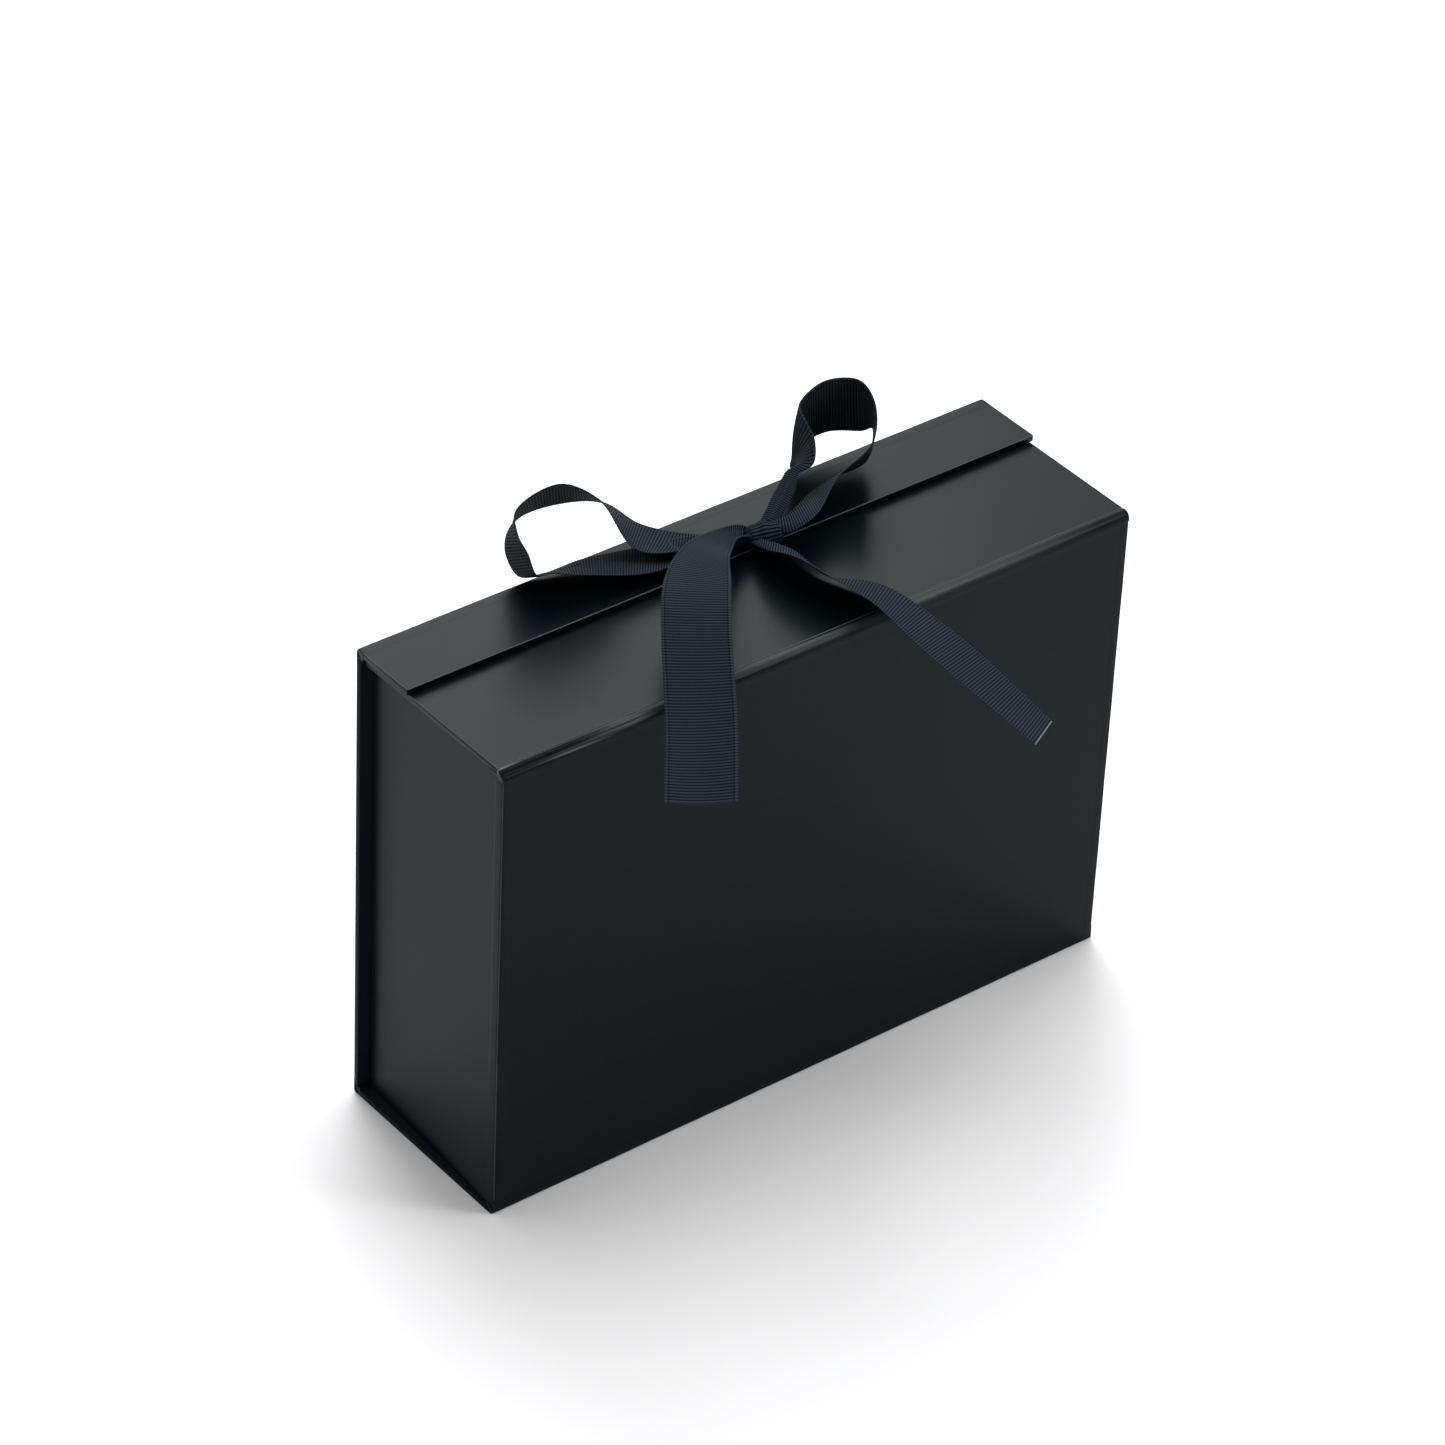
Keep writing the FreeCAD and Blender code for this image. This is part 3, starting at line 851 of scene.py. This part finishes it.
def ribbon_piece(name, path, ribbon, cut):
    """A ribbon along a path. Across it the ribbon is an arc that spans the width that shows and turns by the
    curl, with pleats that deepen as more of the width is hidden. Its two faces stand off that surface by
    half the thickness, which swells at each cross rib, more so where the ribbon is bunched and at its
    selvedges. Its edges are scalloped by the ribs and rounded off."""
    columns = 31
    flattest = 0.001
    rib_fullness = 0.8
    crest_sharpness, bunched_shade_sharpness = 1.5, 5
    scallop = 0.08 * MM
    pleats, pleat_depth = 3, 0.45 * MM
    selvedge_from, selvedge_swell = 0.9, 0.25
    round_from, thinnest = 0.97, 0.02
    cut_length = 0.35 * MM
    along, centre, across, share, curl = path
    side = np.linspace(-1, 1, columns)
    from_middle = np.abs(side)
    # -1 and 1 on the two edges, and 0 between them.
    on_edge = np.trunc(side)
    rib = np.abs(np.sin(along * math.pi / ribbon.rib_pitch)) ** rib_fullness
    half_turn = np.maximum(np.abs(curl) / 2, flattest)
    radius = share * ribbon.width / 2 / np.sin(np.minimum(half_turn, math.pi / 2))
    hidden = np.clip(1 - 2 * radius * half_turn / ribbon.width, 0, 1)
    angle = half_turn[:, None] * side
    span = radius[:, None] * np.sin(angle) + scallop * rib[:, None] * on_edge
    mean_height = (np.sin(half_turn) / half_turn)[:, None]
    rise = (radius * np.sign(curl))[:, None] * (np.cos(angle) - mean_height)
    rise = rise + pleat_depth * hidden[:, None] * np.cos(pleats * math.pi * side)
    forward = unit(np.gradient(centre, axis=0))
    facing = unit(np.cross(forward, across))
    middle = centre[:, None] + span[..., None] * across[:, None] + rise[..., None] * facing[:, None]
    normal = unit(np.cross(np.gradient(middle, axis=0), np.gradient(middle, axis=1)))
    selvedge = selvedge_swell * np.clip((from_middle - selvedge_from) / (1 - selvedge_from), 0, 1)
    rounding = np.clip((from_middle - round_from) / (1 - round_from), 0, 1)
    round_off = np.sqrt(np.clip(1 - rounding ** 2, thinnest, 1))
    bunched = rib * (1 + hidden)
    thickness = ribbon.thickness + ribbon.rib_height * bunched[:, None] * (1 + selvedge)
    stand = (thickness / 2 * round_off)[..., None] * normal
    upper, lower = middle + stand, middle - stand
    piece = tube_mesh(name, np.concatenate([upper, lower[:, ::-1]], axis=1))
    # Painted highlight on each rib's crest, with painted shade between; the crest narrows where the ribbon
    # is bunched, painting shade into the gathers.
    lit_crest = rib ** (crest_sharpness + bunched_shade_sharpness * hidden)
    from_side = (np.concatenate([side, side[::-1]]) + 1) / 2
    cut_end = np.clip(1 - (along[-1] - along) / cut_length, 0, 1) * cut
    write_values(piece, "rib_crest_highlight", np.repeat(lit_crest, 2 * columns))
    write_values(piece, "across", np.tile(from_side, len(along)))
    write_values(piece, "cut_end", np.repeat(cut_end, 2 * columns))
    return piece


def dress(piece, material, slot, *nodes):
    """Gives a new piece its material and hides the nodes that it stands for. The slot is not used."""
    piece.data.materials.append(material)
    if nodes:
        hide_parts(*nodes)


def follow_fold(piece, fold):
    """Makes a piece move with a fold whose boards are on one body; on a fold between two bodies the piece is
    only fixed in place where it stands."""
    ways, first, second = FOLDS[fold][1:]
    if first == second:
        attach(piece, first)
        return
    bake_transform(piece)


def finish_node(node, material):
    """Gives a node of the frame a better material."""
    mesh = frame["nodes"][node].data
    mesh.materials.clear()
    mesh.materials.append(material)


class GIFTBOX_OT_covers(bpy.types.Operator):
    """Wrap each board in matte paper"""

    bl_idname = "giftbox.covers"
    bl_label = "Wrap the Boards"

    def execute(self, context):
        paper = context.scene.gift_box_paper
        for panel, (axis, outward) in PANELS.items():
            node = panel + "_wrap"
            low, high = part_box(node)
            lean = Matrix.Identity(4)
            if panel in ("left_wall", "right_wall"):
                low, high, lean = wall_box(panel)
            piece = paper_cover(panel + "_cover", low, high, axis, outward, paper)
            piece.data.transform(lean)
            dress(piece, wrap_paper(paper), "outer_wrap", node)
            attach(piece, frame["nodes"][node]["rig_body"])
        return {"FINISHED"}


class GIFTBOX_OT_folds(bpy.types.Operator):
    """Bend the paper folds between the boards, dented where the box has been handled"""

    bl_idname = "giftbox.folds"
    bl_label = "Bend the Folds"

    # How far each fold's paper lies on along the two boards beside it, how square its round is, how far its
    # ends slant in to the first board, and the length over which its laps narrow to its ends. Lengths are in
    # millimetres.
    shapes = {
        "base_front_fold": ((2, 0), 2.3, 0, 4),
        "base_spine_fold": ((2, 0), 8, 0.5, 0.1),
        "spine_lid_fold": ((2, 0), 8, 0, 0.1),
        "lid_flap_fold": ((2, 2), 8, 0, 0.1),
        "base_left_fold": ((1.5, 1.5), 8, 0, 0.1),
        "base_right_fold": ((1.5, 1.5), 8, 0, 0.1),
    }

    # Each worn stretch: its middle and spread along the fold in metres, then how far it is pressed to a
    # chamfer and dented along its middle, in millimetres.
    wear = {
        "base_front_fold": [
            (0, 0.022, 0.7, 0),
            (0.028, 0.016, 0.35, 0.35),
            (0.047, 0.008, 0.1, 0.3),
            (0.085, 0.02, 0.1, 0.12),
        ],
    }

    # Each pale streak, a painted highlight that is partly rub wear: its middle and spread along the fold in
    # metres, its place round the turn from 0 to 1, how it climbs per metre, its breadth round the turn, and
    # its strength.
    highlights_and_rubs = {
        "base_front_fold": [
            (0.002, 0.004, 0.97, 0, 0.06, 1),
            (0.025, 0.009, 0.2, -4, 0.06, 1),
            (0.042, 0.01, 0.6, 0, 0.28, 0.75),
            (0.042, 0.005, 0.55, 0, 0.05, -0.8),
            (0.05, 0.005, 0.95, 0, 0.08, -0.6),
            (0.06, 0.006, 0.82, 0, 0.08, 0.9),
            (0.095, 0.025, 0.75, 0, 0.12, 0.5),
            (0.15, 0.045, 0.55, 0, 0.3, 0.6),
        ],
    }

    # The one long painted highlight, partly rub wear, of every other fold.
    corner_highlight_and_rub = [(0, 1, 0.5, 0, 0.12, 0.6)]

    def execute(self, context):
        paper = context.scene.gift_box_paper
        for node in FOLDS:
            name = node.replace("fold", "crease")
            dents = self.wear.get(node, [])
            highlights_and_rubs = self.highlights_and_rubs.get(node, self.corner_highlight_and_rub)
            piece = paper_fold(name, node, paper, self.shapes[node], dents, highlights_and_rubs)
            dress(piece, wrap_paper(paper), "outer_wrap", node)
            follow_fold(piece, node)
        return {"FINISHED"}


class GIFTBOX_OT_inside(bpy.types.Operator):
    """Finish the linings, boards, tabs, tape, magnets and plates"""

    bl_idname = "giftbox.inside"
    bl_label = "Finish the Inside"

    # The upright and the level panel beside each fold that the lining runs on over.
    bridges = {
        "base_front_fold": ("base", "front_wall"),
        "base_spine_fold": ("base", "spine"),
        "spine_lid_fold": ("lid", "spine"),
        "lid_flap_fold": ("lid", "flap"),
    }

    # The colour and roughness of the two metals.
    nickel = ((0.72, 0.7, 0.66), 0.2)
    steel = ((0.5, 0.5, 0.5), 0.4)

    def execute(self, context):
        lining = lining_paper(context.scene.gift_box_paper)
        finishes = {
            "left_wall_tabs": lining,
            "right_wall_tabs": lining,
            "tab_tapes": material_named("film_tape", tape_material),
            "flap_magnets": material_named("plated_disc", metal_material, *self.nickel),
            "front_wall_plates": material_named("rolled_plate", metal_material, *self.steel),
        }
        for panel in PANELS:
            finishes[panel + "_lining"] = lining
            finishes[panel + "_board"] = material_named("pulp_board", board_material)
        for node, material in finishes.items():
            finish_node(node, material)
        for fold, (upright, level) in self.bridges.items():
            piece = lining_strip(fold.replace("fold", "lining_crease"), fold, upright, level)
            dress(piece, lining, "lining_paper")
            follow_fold(piece, fold)
        return {"FINISHED"}


class GIFTBOX_OT_bow(bpy.types.Operator):
    """Tie the ribbon: two loops, two tails, the knot and the anchor under it"""

    bl_idname = "giftbox.bow"
    bl_label = "Tie the Bow"

    # Mesh rows to each cross rib.
    rib_rows = 6

    # How pale the fused end of each tail is, from 0 to 1.
    front_cut = 0.05
    side_cut = 0.8

    def execute(self, context):
        ribbon = context.scene.gift_box_ribbon
        material = material_named("grosgrain", ribbon_material, ribbon)
        spacing = ribbon.rib_pitch / self.rib_rows
        strips = {
            "left_loop": ("left_bow_loop", even_path(LEFT_LOOP, spacing), 0, 1),
            "right_loop": ("right_bow_loop", even_path(RIGHT_LOOP, spacing), 0, 1),
            "front_tail": ("front_bow_tail", even_path(FRONT_TAIL, spacing), self.front_cut, 1),
            "side_tail": ("side_bow_tail", even_path(SIDE_TAIL, spacing), self.side_cut, 1),
            "bow_knot": ("knot_band", knot_path(spacing), 0, KNOT_SHARE),
            "ribbon_anchor": ("anchor_band", even_path(ANCHOR, spacing), 0, ANCHOR_SHARE),
        }
        for node, (name, path, cut, flat_share) in strips.items():
            piece = ribbon_piece(name, path, ribbon, cut)
            dress(piece, material, "ribbon", node)
            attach(piece, "flap")
            flat = (ribbon.width * flat_share, path[0][-1])
        return {"FINISHED"}


class GIFTBOX_OT_stage(bpy.types.Operator):
    """Set the floor, the soft light and the camera"""

    bl_idname = "giftbox.stage"
    bl_label = "Set the Stage"

    # Each soft light's place and the length of its side, in metres: one overhead, one behind that the top
    # faces mirror to the camera, and one at the front right that the rounded folds mirror.
    overhead = ((0.25, 0.3, 1.6), 1.2)
    back = ((0.62, 1.35, 1.3), 1.25)
    front = ((0.82, -0.92, 1.06), 0.4)

    def execute(self, context):
        scene = context.scene
        stage = scene.gift_box_stage
        self.floor(stage)
        self.surround(scene, stage.surround)
        self.soft_light(scene, "overhead", *self.overhead, stage.overhead_power)
        self.soft_light(scene, "back", *self.back, stage.back_power)
        self.soft_light(scene, "front", *self.front, stage.front_power)
        self.camera(scene, stage)
        return {"FINISHED"}

    def floor(self, stage):
        """A wide pale floor under the box, faintly mottled."""
        half = 4
        mottle_cells, mottle_dark = 6, 0.985
        dullness, gloss = 0.9, 0.1
        corners = np.array([(-half, -half, 0), (half, -half, 0), (half, half, 0), (-half, half, 0)])
        floor = put_mesh("floor", corners, [[0, 1, 2, 3]])
        material, tree, shader = new_material("floor")
        mottle = grain(tree, mottle_cells)
        dark = scaled(stage.floor_colour, mottle_dark)
        link(tree, tint(tree, mottle, dark, stage.floor_colour), shader, "Base Color")
        shader.inputs["Roughness"].default_value = dullness
        shader.inputs["Specular IOR Level"].default_value = gloss
        floor.data.materials.append(material)
        floor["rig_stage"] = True

    def surround(self, scene, brightness):
        """An even white surround, shown with plain colours."""
        world = bpy.data.worlds.new("surround")
        world.use_nodes = True
        background = world.node_tree.nodes["Background"]
        background.inputs["Color"].default_value = (1, 1, 1, 1)
        background.inputs["Strength"].default_value = brightness
        scene.world = world
        scene.view_settings.view_transform = "Standard"

    def soft_light(self, scene, name, place, size, power):
        """A square soft light that faces the middle of the box."""
        lamp = bpy.data.lights.new(name, "AREA")
        lamp.shape = "SQUARE"
        lamp.size = size
        lamp.energy = power
        light = bpy.data.objects.new(name, lamp)
        low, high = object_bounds()
        turn = (Vector(place) - (low + high) / 2).to_track_quat("Z", "Y")
        light.matrix_world = Matrix.Translation(place) @ turn.to_matrix().to_4x4()
        scene.collection.objects.link(light)

    def camera(self, scene, stage):
        """The camera, from its place, bearing, elevation and roll."""
        farthest = 100
        azimuth, elevation = stage.camera_azimuth, stage.camera_elevation
        level = math.cos(elevation)
        back = Vector((math.sin(azimuth) * level, -math.cos(azimuth) * level, math.sin(elevation)))
        right = Vector((0, 0, 1)).cross(back).normalized()
        up = back.cross(right)
        turn = Matrix((right, up, back)).transposed().to_4x4()
        roll = Matrix.Rotation(stage.camera_roll, 4, "Z")
        lens = bpy.data.cameras.new("camera")
        lens.sensor_width = stage.sensor_width
        lens.lens = stage.focal_length
        lens.clip_end = farthest
        camera = bpy.data.objects.new("camera", lens)
        camera.matrix_world = Matrix.Translation(stage.camera_place) @ turn @ roll
        scene.collection.objects.link(camera)
        scene.camera = camera


class GIFTBOX_PT_sidebar(bpy.types.Panel):
    """Lists the gift box's settings and the buttons of its operators"""

    bl_idname = "GIFTBOX_PT_sidebar"
    bl_label = "Gift Box"
    bl_space_type = "VIEW_3D"
    bl_region_type = "UI"
    bl_category = "Gift Box"

    def draw(self, context):
        for group in ("gift_box_paper", "gift_box_ribbon", "gift_box_stage"):
            settings = getattr(context.scene, group)
            box = self.layout.box()
            for name in settings.__annotations__:
                box.prop(settings, name)
        for operator in OPERATORS:
            self.layout.operator(operator.bl_idname)


OPERATORS = (
    GIFTBOX_OT_covers, GIFTBOX_OT_folds, GIFTBOX_OT_inside, GIFTBOX_OT_bow, GIFTBOX_OT_stage,
)
CLASSES = (GiftBoxPaper, GiftBoxRibbon, GiftBoxStage, *OPERATORS, GIFTBOX_PT_sidebar)


def register():
    for each in CLASSES:
        bpy.utils.register_class(each)
    bpy.types.Scene.gift_box_paper = bpy.props.PointerProperty(type=GiftBoxPaper)
    bpy.types.Scene.gift_box_ribbon = bpy.props.PointerProperty(type=GiftBoxRibbon)
    bpy.types.Scene.gift_box_stage = bpy.props.PointerProperty(type=GiftBoxStage)


def unregister():
    del bpy.types.Scene.gift_box_stage
    del bpy.types.Scene.gift_box_ribbon
    del bpy.types.Scene.gift_box_paper
    for each in reversed(CLASSES):
        bpy.utils.unregister_class(each)


def main():
    register()
    bpy.ops.giftbox.covers()
    bpy.ops.giftbox.folds()
    bpy.ops.giftbox.inside()
    bpy.ops.giftbox.bow()
    bpy.ops.giftbox.stage()


if __name__ == "__main__":
    main()
